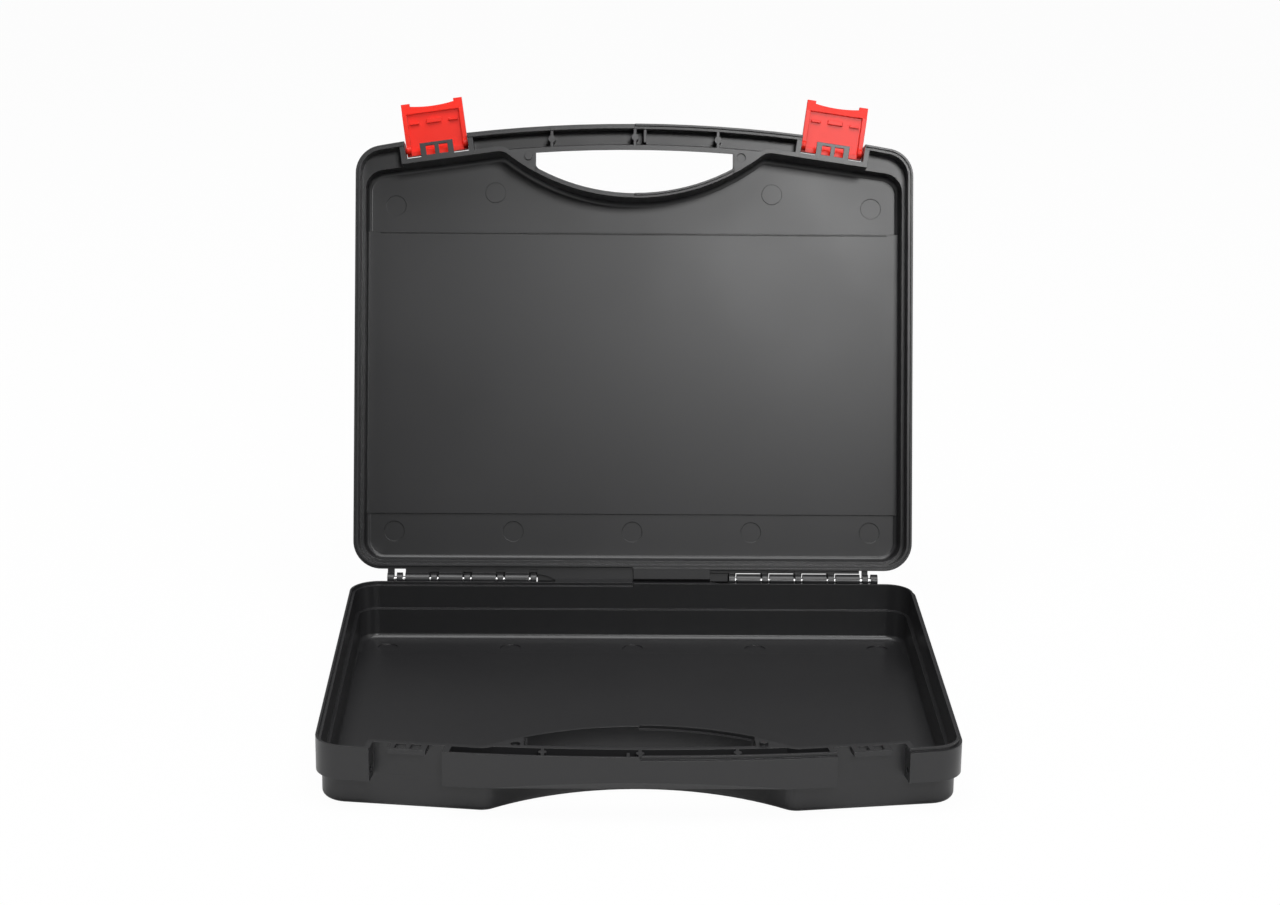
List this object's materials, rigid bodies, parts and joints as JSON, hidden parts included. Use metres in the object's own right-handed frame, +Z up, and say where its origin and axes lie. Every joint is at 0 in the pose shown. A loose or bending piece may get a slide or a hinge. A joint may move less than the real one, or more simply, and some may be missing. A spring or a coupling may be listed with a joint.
{
  "type": "hard tool case",
  "caption": "Hard moulded tool case, open: matching black half shells on hinge rods, red snap latches on the lid beside a through-hole carry handle.",
  "frame": {"origin": "on the underside, on the middle line, in the middle of the rear band that the case rests on", "axes": "+X along the hinge to the viewer's right, +Y from the handle side to the hinge side, +Z up"},
  "size_m": [0.3, 0.3451, 0.2771],
  "materials": {
    "shell": "satin moulded black with fine grain",
    "latch": "glossy red, slightly see-through at thin edges",
    "rod": "bright drawn wire"
  },
  "bodies": {
    "base": {"base_shell": "shell", "hinge_rod_left": "rod", "hinge_rod_right": "rod"},
    "lid": {"lid_shell": "shell"},
    "latch_left": {"latch_left": "latch"},
    "latch_right": {"latch_right": "latch"}
  },
  "joints": [
    {"name": "lid_hinge", "type": "hinge", "parent": "base", "child": "lid", "pos_m": [0, 0.0227, 0.032], "axis": [1, 0, 0], "range_deg": [0, 107.5]},
    {"name": "latch_left_pivot", "type": "hinge", "parent": "lid", "child": "latch_left", "pos_m": [-0.10677, 0.10337, 0.25126], "axis": [0.9898, 0.0428, 0.1357], "range_deg": [0, 90]},
    {"name": "latch_right_pivot", "type": "hinge", "parent": "lid", "child": "latch_right", "pos_m": [0.10677, 0.10337, 0.25126], "axis": [0.9898, -0.0428, -0.1357], "range_deg": [0, 90]}
  ]
}
